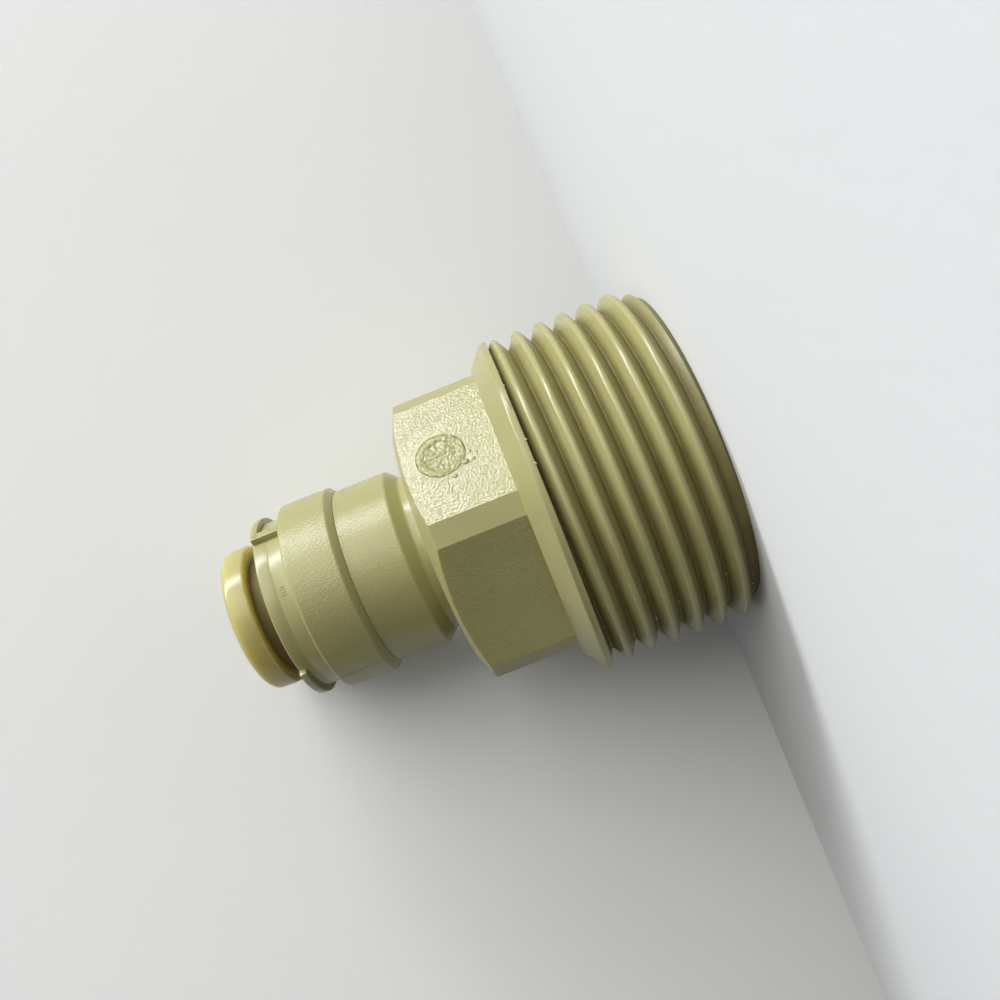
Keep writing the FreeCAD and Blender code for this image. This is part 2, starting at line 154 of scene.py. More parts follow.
def turn_by(mesh, degrees, axis):
    """Turn a whole shape about one of the scene's axes."""
    bmesh.ops.rotate(mesh, verts=mesh.verts[:], cent=(0, 0, 0),
                     matrix=Matrix.Rotation(math.radians(degrees), 3, axis))


def turned(corners, steps=STEPS):
    """Closed ring whose section is a rounded outline."""
    mesh = bmesh.new()
    wire(mesh, corners)
    bmesh.ops.spin(mesh, geom=mesh.verts[:] + mesh.edges[:], cent=(0, 0, 0), axis=(0, 0, 1),
                   angle=math.tau, steps=steps, use_merge=True)
    tidy(mesh)
    return mesh


def sector(corners, start, sweep, steps):
    """Solid part of a ring, from one angle through another."""
    mesh = bmesh.new()
    mesh.faces.new([mesh.verts.new((mm(radius), 0, mm(height))) for radius, height in corners])
    turn_by(mesh, start, "Z")
    bmesh.ops.spin(mesh, geom=mesh.verts[:] + mesh.edges[:] + mesh.faces[:], cent=(0, 0, 0),
                   axis=(0, 0, 1), angle=math.radians(sweep), steps=steps)
    bmesh.ops.holes_fill(mesh, edges=mesh.edges[:])
    tidy(mesh)
    return mesh


def soften(mesh, size, sharper_than):
    """Round the edges that are sharper than an angle."""
    edges = [edge for edge in mesh.edges if edge.calc_face_angle(0) > math.radians(sharper_than)]
    bmesh.ops.bevel(mesh, geom=edges, offset=mm(size), offset_type="OFFSET", segments=2,
                    profile=0.5, affect="EDGES", clamp_overlap=True, material=-1)
    return mesh


def placed(mesh, size, place, turn, lean):
    """Give a unit shape its size and place, both as (radial, round, up), then turn it."""
    bmesh.ops.scale(mesh, verts=mesh.verts[:], vec=[mm(length) for length in size])
    turn_by(mesh, lean, "X")
    bmesh.ops.translate(mesh, verts=mesh.verts[:], vec=[mm(length) for length in place])
    turn_by(mesh, turn, "Z")
    return mesh


def block(size, place, turn=0, lean=0):
    """Small bar at a radius and height."""
    mesh = bmesh.new()
    bmesh.ops.create_cube(mesh, size=1)
    return placed(mesh, size, place, turn, lean)


def blob(size, place, turn=0, lean=0):
    """Small smooth lump at a radius and height."""
    mesh = bmesh.new()
    bmesh.ops.create_icosphere(mesh, subdivisions=2, radius=0.5)
    return placed(mesh, size, place, turn, lean)


def loose_object(mesh, name):
    data = bpy.data.meshes.new(name)
    mesh.to_mesh(data)
    mesh.free()
    made = bpy.data.objects.new(name, data)
    bpy.context.scene.collection.objects.link(made)
    return made


def carved(mesh, cutters):
    """Mesh with closed shapes cut out of it."""
    workpiece = loose_object(mesh, "workpiece")
    tools = [loose_object(cutter, "cutter") for cutter in cutters]
    for tool in tools:
        cut = workpiece.modifiers.new("cut", "BOOLEAN")
        cut.operation = "DIFFERENCE"
        cut.solver = "EXACT"
        cut.object = tool
    result = bmesh.new()
    result.from_object(workpiece, bpy.context.evaluated_depsgraph_get())
    for used in (workpiece, *tools):
        bpy.data.meshes.remove(used.data)
    return result


def radius_of(point):
    return math.hypot(point.co.x, point.co.y) / MILLIMETRE


def angle_of(point):
    return math.atan2(point.co.y, point.co.x)


def set_radius(point, radius, angle=None):
    angle = angle_of(point) if angle is None else angle
    point.co.x = mm(radius) * math.cos(angle)
    point.co.y = mm(radius) * math.sin(angle)


def apart(angle, other):
    """Difference between two angles, from minus to plus half a turn."""
    return (angle - other + math.pi) % math.tau - math.pi


def add_to(mesh, extras):
    """Move the faces of other meshes into one."""
    for extra in extras:
        spare = bpy.data.meshes.new("spare")
        extra.to_mesh(spare)
        extra.free()
        mesh.from_mesh(spare)
        bpy.data.meshes.remove(spare)


def finished(mesh, name, body, nodes, materials):
    """Object from a mesh, riding on a body in place of its CAD nodes."""
    for face in mesh.faces:
        face.smooth = True
    for edge in mesh.edges:
        finishes = {face.material_index for face in edge.link_faces}
        beside_flat = SPARKED in finishes and len(finishes) > 1
        edge.smooth = edge.calc_face_angle(0) < SHARP_ANGLE and not beside_flat
    piece = loose_object(mesh, name)
    for material in materials:
        piece.data.materials.append(material)
    even = piece.modifiers.new("even_normals", "WEIGHTED_NORMAL")
    even.keep_sharp = True
    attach(piece, body)
    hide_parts(*nodes)
    return piece


# Material tools

def feed(tree, socket, given):
    """Link another socket to this one, or write a constant on it."""
    if isinstance(given, bpy.types.NodeSocket):
        tree.links.new(given, socket)
    else:
        socket.default_value = given


def place_node(tree, kind, inputs, **settings):
    """Shader node with its settings, its constants and its links."""
    node = tree.nodes.new("ShaderNode" + kind)
    for name, setting in settings.items():
        setattr(node, name, setting)
    for name, given in inputs.items():
        feed(tree, node.inputs[name], given)
    return node


def math_node(tree, operation, first, second):
    return place_node(tree, "Math", {0: first, 1: second}, operation=operation).outputs[0]


def spread(tree, given, low, high, to_low=0.0, to_high=1.0):
    """Value stretched from one range to another and held inside it."""
    return place_node(tree, "MapRange", {
        "Value": given, "From Min": low, "From Max": high, "To Min": to_low, "To Max": to_high,
    }).outputs["Result"]


def blend_colour(tree, factor, first, second):
    """Mix of two colours; sockets 6, 7 and 2 are the node's colour ones."""
    return place_node(tree, "Mix", {0: factor, 6: first, 7: second},
                      data_type="RGBA").outputs[2]


def new_effect(name, takes, gives):
    """Node group for an effect that several materials share."""
    tree = bpy.data.node_groups.new(name, "ShaderNodeTree")
    for socket, kind in takes:
        tree.interface.new_socket(socket, in_out="INPUT", socket_type=kind)
    for socket in gives:
        tree.interface.new_socket(socket, in_out="OUTPUT", socket_type="NodeSocketFloat")
    return tree, tree.nodes.new("NodeGroupInput").outputs, tree.nodes.new("NodeGroupOutput").inputs


def use_effect(tree, effect, inputs):
    node = tree.nodes.new("ShaderNodeGroup")
    node.node_tree = effect
    for name, given in inputs.items():
        feed(tree, node.inputs[name], given)
    return node.outputs


def grain_effect():
    """Pits left by a spark-eroded mould, and a painted glint on their tops; Size is one pit's width
    in metres.
    """
    tree, takes, gives = new_effect(
        "mould_grain", [("Place", "NodeSocketVector"), ("Size", "NodeSocketFloat")],
        ["Height", "PaintedGlint"])
    fineness = math_node(tree, "DIVIDE", 1.0, takes["Size"])
    pits = place_node(tree, "TexVoronoi", {"Vector": takes["Place"], "Scale": fineness},
                      feature="F1").outputs["Distance"]
    rough = place_node(tree, "TexNoise", {
        "Vector": takes["Place"], "Scale": fineness, "Detail": 2.0, "Roughness": 0.65,
    }).outputs["Fac"]
    height = math_node(tree, "ADD", math_node(tree, "MULTIPLY", pits, 0.6),
                       math_node(tree, "MULTIPLY", rough, 0.8))
    tree.links.new(height, gives["Height"])
    tree.links.new(spread(tree, height, 0.55, 0.95), gives["PaintedGlint"])
    return tree


def flow_effect():
    """Soft, cloudy difference in tone that the flowing plastic leaves."""
    tree, takes, gives = new_effect(
        "melt_flow", [("Place", "NodeSocketVector"), ("Size", "NodeSocketFloat")], ["Tone"])
    fineness = math_node(tree, "DIVIDE", 1.0, takes["Size"])
    cloud = place_node(tree, "TexNoise", {
        "Vector": takes["Place"], "Scale": fineness, "Detail": 2.0, "Roughness": 0.5,
        "Distortion": 0.6,
    }).outputs["Fac"]
    tree.links.new(spread(tree, cloud, 0.3, 0.7), gives["Tone"])
    return tree


def edge_wear_and_highlight_effect():
    """Brightness of sharp edges, broken up in patches: partly burnished wear, partly a painted
    highlight where edges catch light.
    """
    tree, takes, gives = new_effect("edge_wear_and_painted_highlight", [("Place", "NodeSocketVector")], ["Edge"])
    bend = place_node(tree, "NewGeometry", {}).outputs["Pointiness"]
    patches = place_node(tree, "TexNoise", {
        "Vector": takes["Place"], "Scale": 1400.0, "Detail": 2.0,
    }).outputs["Fac"]
    edge = spread(tree, bend, 0.52, 0.62)
    tree.links.new(math_node(tree, "MULTIPLY", edge, patches), gives["Edge"])
    return tree


def groove_shade_effect():
    """Painted shade in a groove round the axis, from none at its Rim to full at its Root, in metres.
    """
    tree, takes, gives = new_effect(
        "groove_painted_shade", [("Place", "NodeSocketVector"), ("Rim", "NodeSocketFloat"),
                        ("Root", "NodeSocketFloat")], ["Dust"])
    flat = place_node(tree, "VectorMath", {0: takes["Place"], 1: (1.0, 1.0, 0.0)},
                      operation="MULTIPLY").outputs["Vector"]
    radius = place_node(tree, "VectorMath", {0: flat}, operation="LENGTH").outputs["Value"]
    patches = place_node(tree, "TexNoise", {
        "Vector": takes["Place"], "Scale": 700.0, "Detail": 2.0,
    }).outputs["Fac"]
    uneven = spread(tree, patches, 0.3, 0.7, 0.85, 1.0)
    painted_shade = spread(tree, radius, takes["Rim"], takes["Root"])
    tree.links.new(math_node(tree, "MULTIPLY", painted_shade, uneven), gives["Dust"])
    return tree


GRAIN = grain_effect()
FLOW = flow_effect()
EDGE_WEAR_AND_HIGHLIGHT = edge_wear_and_highlight_effect()
GROOVE_SHADE = groove_shade_effect()
# Share of each channel that is left of a colour under the painted groove shade
PAINTED_SHADE_SHARE = (0.42, 0.35, 0.18)


def new_material(name):
    material = bpy.data.materials.new(name)
    material.use_nodes = True
    tree = material.node_tree
    place = place_node(tree, "TexCoord", {}).outputs["Object"]
    return material, tree, tree.nodes["Principled BSDF"], place


def scaled(colour, factor):
    return tuple(channel * factor for channel in colour) + (1.0,)


def add_relief(tree, shader, height, strength, depth):
    """Bump from a height map; depth is in millimetres."""
    relief = place_node(tree, "Bump", {"Height": height, "Strength": strength,
                                       "Distance": mm(depth)})
    tree.links.new(relief.outputs["Normal"], shader.inputs["Normal"])


def moulded_acetal(name, colour, roughness, grain, depth, painted_glint=0.0, glow=0.25, reach=0.8,
                   groove=None):
    """Satin moulded plastic; grain and depth are its pits, groove the rim and root of its painted
    shade, in mm; painted_glint is a painted glint on the pits' tops.
    """
    material, tree, shader, place = new_material(name)
    flow = use_effect(tree, FLOW, {"Place": place, "Size": mm(6.0)})["Tone"]
    pits = use_effect(tree, GRAIN, {"Place": place, "Size": mm(grain)})
    tint = blend_colour(tree, flow, scaled(colour, 0.95), scaled(colour, 1.04))
    # Painted glint: colour brightened on the pits' tops, standing in for the glitter of light off
    # the grain
    painted_base = blend_colour(tree, math_node(tree, "MULTIPLY", pits["PaintedGlint"], painted_glint),
                            tint, scaled(colour, 1.6))
    shine = spread(tree, flow, 0.0, 1.0, roughness - 0.02, roughness + 0.03)
    # Painted shade: colour darkened towards the groove's root, standing in for the shade that falls
    # in it
    if groove:
        rim, root = groove
        painted_shade = use_effect(tree, GROOVE_SHADE, {"Place": place, "Rim": mm(rim), "Root": mm(root)})["Dust"]
        shaded_colour = tuple(channel * share for channel, share in zip(colour, PAINTED_SHADE_SHARE)) + (1.0,)
        painted_base = blend_colour(tree, painted_shade, painted_base, shaded_colour)
        shine = math_node(tree, "ADD", shine, math_node(tree, "MULTIPLY", painted_shade, 0.35))
    tree.links.new(painted_base, shader.inputs["Base Color"])
    tree.links.new(shine, shader.inputs["Roughness"])
    add_relief(tree, shader, pits["Height"], 1.0, depth)
    shader.inputs["IOR"].default_value = 1.53
    shader.inputs["Subsurface Weight"].default_value = glow
    shader.inputs["Subsurface Radius"].default_value = (1.0, 0.80, 0.35)
    shader.inputs["Subsurface Scale"].default_value = mm(reach)
    return material


def stamped_steel(name):
    """Bright strip steel with fine lines from its rolling."""
    material, tree, shader, place = new_material(name)
    stretched = place_node(tree, "Mapping", {
        "Vector": place, "Scale": (1.0, 1.0, 12.0),
    }).outputs["Vector"]
    lines = place_node(tree, "TexNoise", {
        "Vector": stretched, "Scale": 9000.0, "Detail": 4.0,
    }).outputs["Fac"]
    edge_wear_and_light = use_effect(tree, EDGE_WEAR_AND_HIGHLIGHT, {"Place": place})
    tone = blend_colour(tree, lines, (0.50, 0.50, 0.49, 1.0), (0.68, 0.68, 0.66, 1.0))
    # Edges painted brighter: partly burnished wear, partly painted highlight
    bright = blend_colour(tree, edge_wear_and_light["Edge"], tone, (0.80, 0.80, 0.78, 1.0))
    tree.links.new(bright, shader.inputs["Base Color"])
    tree.links.new(spread(tree, lines, 0.3, 0.7, 0.22, 0.42), shader.inputs["Roughness"])
    add_relief(tree, shader, lines, 0.4, 0.01)
    shader.inputs["Metallic"].default_value = 1.0
    return material


def seal_rubber(name):
    """Black rubber with a faint grey bloom."""
    material, tree, shader, place = new_material(name)
    bloom = use_effect(tree, FLOW, {"Place": place, "Size": mm(1.5)})["Tone"]
    pits = use_effect(tree, GRAIN, {"Place": place, "Size": mm(0.08)})
    tint = blend_colour(tree, bloom, (0.018, 0.018, 0.018, 1.0), (0.045, 0.044, 0.042, 1.0))
    tree.links.new(tint, shader.inputs["Base Color"])
    tree.links.new(spread(tree, pits["Height"], 0.3, 1.1, 0.38, 0.6), shader.inputs["Roughness"])
    add_relief(tree, shader, pits["Height"], 0.6, 0.01)
    return material


BEIGE = (0.39, 0.361, 0.152)
WARM_BEIGE = (0.45, 0.405, 0.152)
SMOOTH_ACETAL = moulded_acetal("acetal", BEIGE, roughness=0.25, grain=0.30, depth=0.001)
SATIN_ACETAL = moulded_acetal("acetal_satin", BEIGE, roughness=0.24, grain=0.13, depth=0.024)
# Both carry a faint painted glint on their grain
GRAINED_ACETAL = moulded_acetal("acetal_fine_grain", BEIGE, roughness=0.21, grain=0.14,
                                depth=0.032, painted_glint=0.08)
SPARKED_ACETAL = moulded_acetal("acetal_spark_eroded", BEIGE, roughness=0.13, grain=0.18,
                                depth=0.028, painted_glint=0.08)
# Painted shade darkens the thread's roots
THREAD_ACETAL = moulded_acetal("acetal_thread", BEIGE, roughness=0.25, grain=0.30, depth=0.001,
                               groove=(CREST - 0.45, ROOT - 0.1))
COLLET_LOOK = {"roughness": 0.26, "grain": 0.30, "depth": 0.002, "glow": 1.0, "reach": 4.0}
COLLET_ACETAL = moulded_acetal("collet_acetal", WARM_BEIGE, **COLLET_LOOK)
# Painted shade darkens the collet's sleeve in the gap behind its flange
SLEEVE_ACETAL = moulded_acetal("collet_acetal_painted_shade", WARM_BEIGE, **COLLET_LOOK,
                               groove=(LIP - 0.5, SLEEVE))
STEEL = stamped_steel("tooth_steel")
RUBBER = seal_rubber("seal_rubber")
ACETALS = [SMOOTH_ACETAL, SATIN_ACETAL, GRAINED_ACETAL, SPARKED_ACETAL, THREAD_ACETAL]
SMOOTH, SATIN, GRAINED, SPARKED, THREAD = range(5)


# Body

SIXTH = math.tau / 6
CORNER_CUT = HEX_FLAT / math.cos(SIXTH / 2) - HEX_BEVEL / 2 * math.tan(SIXTH / 2)


def hexagon_radius(angle):
    """Distance from the axis to the hexagon's wall, with its six corners cut flat."""
    off_flat = (angle + SIXTH / 2) % SIXTH - SIXTH / 2
    off_corner = angle % SIXTH - SIXTH / 2
    return min(HEX_FLAT / math.cos(off_flat), CORNER_CUT / math.cos(off_corner))


def corner_edge_angles():
    """Angles of the twelve upright edges of the hexagon."""
    half = math.atan2(HEX_BEVEL / 2, CORNER_CUT)
    return [SIXTH * (step + 0.5) + side * half for step in range(6) for side in (-1, 1)]


def shape_hexagon(mesh, marker):
    """Give the marked rings the hexagon's outline, and the upper one its chamfer."""
    half_step = math.pi / STEPS
    for point in mesh.verts:
        if abs(radius_of(point) - marker) > 0.01:
            continue
        angle = angle_of(point)
        for corner in corner_edge_angles():
            if abs(apart(angle, corner)) <= half_step:
                angle = corner
        radius = hexagon_radius(angle)
        set_radius(point, radius, angle)
        if point.co.z > mm(HEX_BASE + 1):
            point.co.z = mm(HEX_TOP - (radius - HEX_FACE) * math.tan(HEX_SLOPE))


def on_hexagon(point):
    off_wall = abs(radius_of(point) - hexagon_radius(angle_of(point)))
    return off_wall < 0.005 and radius_of(point) > HEX_FLAT - 0.01


def hexagon_edges(mesh):
    """Upright corners of the hexagon, and the edges round its top and foot."""
    chosen = []
    for edge in mesh.edges:
        if not all(on_hexagon(point) for point in edge.verts):
            continue
        low, high = sorted(edge.verts, key=lambda point: point.co.z)
        at_corner = any(abs(apart(angle_of(low), corner)) < 0.001 for corner in corner_edge_angles())
        level = high.co.z - low.co.z < mm(3)
        if at_corner or level:
            chosen.append(edge)
    return chosen


def lies_in_flat(face):
    """Whether a face lies in one of the hexagon's six flats."""
    middle = face.calc_center_median()
    turn = round(math.atan2(middle.y, middle.x) / SIXTH) * SIXTH
    outwards = Vector((math.cos(turn), math.sin(turn), 0))
    return all(abs(point.co.dot(outwards) - mm(HEX_FLAT)) < mm(0.01) for point in face.verts)


def paint_body(mesh):
    """Choose the mould's finish for each face of the body."""
    for face in mesh.faces:
        middle = face.calc_center_median()
        if lies_in_flat(face):
            face.material_index = SPARKED
        elif SOCKET_CONE < middle.z / MILLIMETRE < MOUTH and middle.xy.length > mm(SPIGOT + 0.2):
            face.material_index = SATIN


def main_shell():
    """Flange, hexagon, neck and socket with all that is inside them."""
    # Radius that only the two rings have which become the hexagon
    marker = 11.0
    mesh = turned([
        (HOLLOW, FLANGE_FOOT, 0),
        (RIM, FLANGE_FOOT, 0.05),
        (RIM, LAND_TOP, 0.08),
        (SHOULDER, HEX_BASE, 0.04),
        (marker, HEX_BASE, 0),
        (marker, HEX_TOP - 1, 0),
        (HEX_FACE, HEX_TOP, 0.15),
        (NECK, HEX_TOP, 0.3),
        (NECK, NECK_TOP, 0.12),
        (SOCKET, SOCKET_CONE, 0.15),
        (SOCKET, MOUTH, 0.08),
        (SPIGOT + 0.02, MOUTH, 0.08),
        (SPIGOT + 0.02, SPIGOT_FOOT, 0),
        (SEAL_RADIUS, SPIGOT_FOOT, 0.08),
        (SEAL_RADIUS, SEAL_SEAT, 0),
        (TUBE_BORE, SEAL_SEAT, 0.08),
        (TUBE_BORE, TUBE_STOP, 0),
        (WATERWAY, TUBE_STOP, 0.08),
        (WATERWAY, HOLLOW_ROOF, 0.08),
        (HEX_HOLLOW, HOLLOW_ROOF, 0.3),
        (HEX_HOLLOW, FLANGE_FOOT, 0.2),
    ])
    shape_hexagon(mesh, marker)
    bmesh.ops.bevel(mesh, geom=hexagon_edges(mesh), offset=mm(0.14), offset_type="OFFSET",
                    segments=3, profile=0.5, affect="EDGES", clamp_overlap=True, material=-1)
    bmesh.ops.recalc_face_normals(mesh, faces=mesh.faces[:])
    mesh = carved(mesh, [mark_cutter()])
    mesh.faces.ensure_lookup_table()
    mesh.normal_update()
    paint_body(mesh)
    return mesh


def grown(mesh, edges, radius, height):
    """Extrude boundary edges to a ring of another radius and height."""
    made = bmesh.ops.extrude_edge_only(mesh, edges=edges)["geom"]
    for item in made:
        if isinstance(item, bmesh.types.BMVert):
            set_radius(item, radius)
            item.co.z = mm(height)
    return [item for item in made if isinstance(item, bmesh.types.BMEdge) and item.is_boundary]


def open_edges(mesh, height):
    return [edge for edge in mesh.edges if edge.is_boundary
            and all(abs(point.co.z - mm(height)) < mm(0.001) for point in edge.verts)]


def helical_ridge():
    """Thread's ridge spun up the axis, from below the end face to inside the flange."""
    mesh = bmesh.new()
    below = FIRST_CREST - 2 * PITCH
    half = PITCH / 2
    wire(mesh, [
        (ROOT, below - half, 0),
        (ROOT, below - half + 0.06, 0.05),
        (CREST, below - CREST_WIDTH / 2, 0.14),
        (CREST, below + CREST_WIDTH / 2, 0.14),
        (ROOT, below + half - 0.06, 0.05),
        (ROOT, below + half, 0),
    ], closed=False)
    bmesh.ops.spin(mesh, geom=mesh.verts[:] + mesh.edges[:], cent=(0, 0, 0), axis=(0, 0, 1),
                   dvec=(0, 0, mm(PITCH / STEPS)), angle=math.tau, steps=STEPS)
    one_turn = mesh.verts[:] + mesh.edges[:] + mesh.faces[:]
    for turn in range(1, math.ceil((FLANGE_FOOT - below) / PITCH) + 1):
        copy = bmesh.ops.duplicate(mesh, geom=one_turn)["geom"]
        points = [item for item in copy if isinstance(item, bmesh.types.BMVert)]
        bmesh.ops.translate(mesh, verts=points, vec=(0, 0, mm(PITCH * turn)))
    bmesh.ops.remove_doubles(mesh, verts=mesh.verts[:], dist=mm(WELD))
    return mesh


def thread_sleeve():
    """Helical ridge with a chamfered start, cut square at both ends and hollowed."""
    mesh = helical_ridge()
    for point in mesh.verts:
        limit = CREST - LEAD_IN + max(point.co.z / MILLIMETRE, 0)
        if radius_of(point) > limit:
            set_radius(point, limit)
    top = FLANGE_FOOT + 0.2
    for height, direction in ((0, -1), (top, 1)):
        bmesh.ops.bisect_plane(mesh, geom=mesh.verts[:] + mesh.edges[:] + mesh.faces[:],
                               plane_co=(0, 0, mm(height)), plane_no=(0, 0, direction),
                               clear_outer=True, dist=mm(0.0005))
    edges = grown(mesh, open_edges(mesh, 0), HOLLOW + 0.15, 0)
    edges = grown(mesh, edges, HOLLOW, 0.15)
    grown(mesh, edges, HOLLOW, FLANGE_FOOT)
    upper = grown(mesh, open_edges(mesh, top), HOLLOW + 0.6, top)
    inner = [edge for edge in mesh.edges if edge.is_boundary and edge not in upper]
    bmesh.ops.bridge_loops(mesh, edges=upper + inner)
    bmesh.ops.recalc_face_normals(mesh, faces=mesh.faces[:])
    for face in mesh.faces:
        if face.calc_center_median().xy.length > mm(ROOT - 0.2):
            face.material_index = THREAD
    return mesh


def onto_marked_flat(mesh):
    """Move a shape made about the Z axis onto the marked flat, its top facing outwards."""
    turn_by(mesh, 90, "Y")
    bmesh.ops.translate(mesh, verts=mesh.verts[:], vec=(mm(HEX_FLAT), 0, mm(MARK_HEIGHT)))
    turn_by(mesh, MARK_TURN, "Z")
    return mesh


def mark_cutter():
    """Round recess that the mark lies in."""
    return onto_marked_flat(turned([(0, -MARK_DEPTH, 0), (MARK_RADIUS, -MARK_DEPTH, 0),
                                    (MARK_RADIUS, 0.5, 0), (0, 0.5, 0)], 72))


def mark_relief():
    """Torn skin of plastic inside the round mark, with a raised bead round it."""
    rings = 14
    floor_rim = 1.14
    foot = -0.3
    bead = [(MARK_RADIUS + 0.03, -0.12, 0), (MARK_RADIUS - 0.02, 0.01, 0.05),
            (MARK_RADIUS - 0.22, 0.07, 0.10), (MARK_RADIUS - 0.50, 0.05, 0.10),
            (MARK_RADIUS - 0.62, -0.03, 0)]
    floor = [(floor_rim * (1 - step / rings), -0.03, 0) for step in range(1, rings + 1)]
    mesh = turned([(0, foot, 0), (MARK_RADIUS + 0.03, foot, 0), *bead, *floor], 120)
    for point in mesh.verts:
        if point.co.z < mm(-0.08):
            continue
        coarse = noise.noise(point.co * 1100)
        fine = noise.noise(point.co * 5200 + Vector((7, 3, 1)))
        hill = math.exp(-((point.co.x / mm(0.7)) ** 2 + ((point.co.y - mm(0.25)) / mm(0.5)) ** 2))
        point.co.z += mm(0.05 * coarse + 0.07 * fine + 0.06 * hill)
        if radius_of(point) > 1.2:
            set_radius(point, radius_of(point) + 0.10 * noise.noise(point.co * 1500) - 0.02)
    for face in mesh.faces:
        face.material_index = SPARKED
    return onto_marked_flat(mesh)


def beside_mark(mesh, across, up):
    """Place a small shape on the flat, across and along it from the mark's centre."""
    bmesh.ops.translate(mesh, verts=mesh.verts[:], vec=(mm(-up), mm(across), 0))
    return onto_marked_flat(mesh)


def mark_drips():
    """Beads of plastic beside the mark, and a hair of it that ran down the flat."""
    drips = []
    for across, up, size in ((-1.28, -1.46, 0.62), (-2.10, -0.50, 0.42), (-1.26, -2.10, 0.30),
                             (-0.53, -2.00, 0.26), (-0.85, -2.45, 0.20)):
        mesh = bmesh.new()
        bmesh.ops.create_icosphere(mesh, subdivisions=2, radius=mm(size / 2))
        bmesh.ops.scale(mesh, verts=mesh.verts[:], vec=(1, 0.8, 0.3))
        drips.append(beside_mark(mesh, across, up))
    for across, up, turn in ((-2.55, 0.10, 5), (-3.15, 0.02, 14), (-3.75, -0.22, 28)):
        mesh = bmesh.new()
        bmesh.ops.create_icosphere(mesh, subdivisions=2, radius=mm(0.5))
        bmesh.ops.scale(mesh, verts=mesh.verts[:], vec=(0.07, 0.75, 0.05))
        turn_by(mesh, -turn, "Z")
        drips.append(beside_mark(mesh, across, up))
    return drips


def rim_flash():
    """Nibs of flash on the flange's thread-side edge, and one scraped place."""
    nibs = []
    for turn, length in ((-81.8, 0.30), (-74.3, 0.22), (-54.1, 0.26), (-47.5, 0.16)):
        nibs.append(blob((0.12, length, 0.22), (RIM - 0.02, 0, FLANGE_FOOT + 0.02), turn, 20))
    nibs.append(blob((0.05, 1.1, 0.30), (RIM - 0.005, 0, FLANGE_FOOT + 0.22), -61.5, 8))
    return nibs


def root_flash():
    """Slivers that the mould's joint leaves across the thread's roots."""
    slivers = []
    lowest_root = FIRST_CREST + PITCH * (PARTING_TURN / 360 + 0.5)
    lengths = (0.30, 0.62, 0.22, 0.50, 0.36, 0.26, 0.55)
    for turn in range(math.floor((FLANGE_FOOT - lowest_root) / PITCH) + 1):
        height = lowest_root + PITCH * turn
        for side in (0, 180):
            lift = PITCH * side / 360
            if height + lift > FLANGE_FOOT - 0.2:
                continue
            length = lengths[turn % len(lengths)]
            slivers.append(blob((0.20, 0.05, length), (ROOT + 0.04, 0, height + lift),
                                PARTING_TURN + side + 40 * (length - 0.4), 30 * length))
    return slivers


def face_nick():
    """Small dent's raised edge on the hexagon's lower flat."""
    return [blob((0.05, 0.16, 0.62), (HEX_FLAT, 0.9, 17.74), -120, 35)]


def make_body():
    mesh = main_shell()
    add_to(mesh, [thread_sleeve(), mark_relief(), *mark_drips(), *rim_flash(), *root_flash(),
                  *face_nick()])
    return finished(mesh, "fitting_body", "stem", ["body"], ACETALS)


# End cap

def clip_ears():
    """Two ears, each a front wall with one closed end."""
    back = NOSE_FRONT - 0.55
    front = NOSE_FRONT - 0.02
    foot = CAP_FRONT - 0.1
    inside = NOSE - 0.1
    wall = [(inside, back), (EAR, back), (EAR, front), (inside, front)]
    closed_end = [(inside - 0.1, foot), (EAR - 0.02, foot), (EAR - 0.02, front - 0.2),
                  (inside - 0.1, front - 0.2)]
    shapes = []
    for turn in (137, 317):
        shapes.append(sector(wall, turn, 86, 60))
        shapes.append(sector(closed_end, turn + 0.3, 5.7, 6))
    return [soften(shape, 0.07, 60) for shape in shapes]


def cap_seams():
    """Parting line down the large ring, and ticks that the mould left on the nose."""
    seams = [block((0.08, 0.09, 3.3), (CAP - 0.015, 0, 29.15), PARTING_TURN + side)
             for side in (0, 180)]
    for step in range(4):
        seams.append(blob((0.05, 0.10, 0.50), (NOSE, 0, 31.8), -85.5 + 1.7 * step))
    return seams


def make_end_cap():
    # Height of the fine line round the nose
    line = 32.25
    mesh = turned([
        (SPIGOT, SPIGOT_FOOT, 0.08),
        (SPIGOT, MOUTH, 0),
        (SOCKET, MOUTH, 0.05),
        (CAP, MOUTH + 0.5, 0.1),
        (CAP, CAP_FRONT, 0.22),
        (NOSE, CAP_FRONT, 0.08),
        (NOSE, line - 0.04, 0),
        (NOSE - 0.02, line, 0),
        (NOSE, line + 0.04, 0),
        (NOSE, NOSE_FRONT, 0.15),
        (GUIDE, NOSE_FRONT, 0.15),
        (GUIDE, CAM_TOP, 0),
        (CAM, CAM_FOOT, 0),
        (CAM, SPIGOT_FOOT, 0.08),
    ])
    for face in mesh.faces:
        middle = face.calc_center_median()
        if MOUTH + 0.5 < middle.z / MILLIMETRE < CAP_FRONT and middle.xy.length > mm(CAP - 0.1):
            face.material_index = GRAINED
    add_to(mesh, [*clip_ears(), *cap_seams()])
    return finished(mesh, "cap_ring", "stem", ["end_cap"], ACETALS)


# Collet

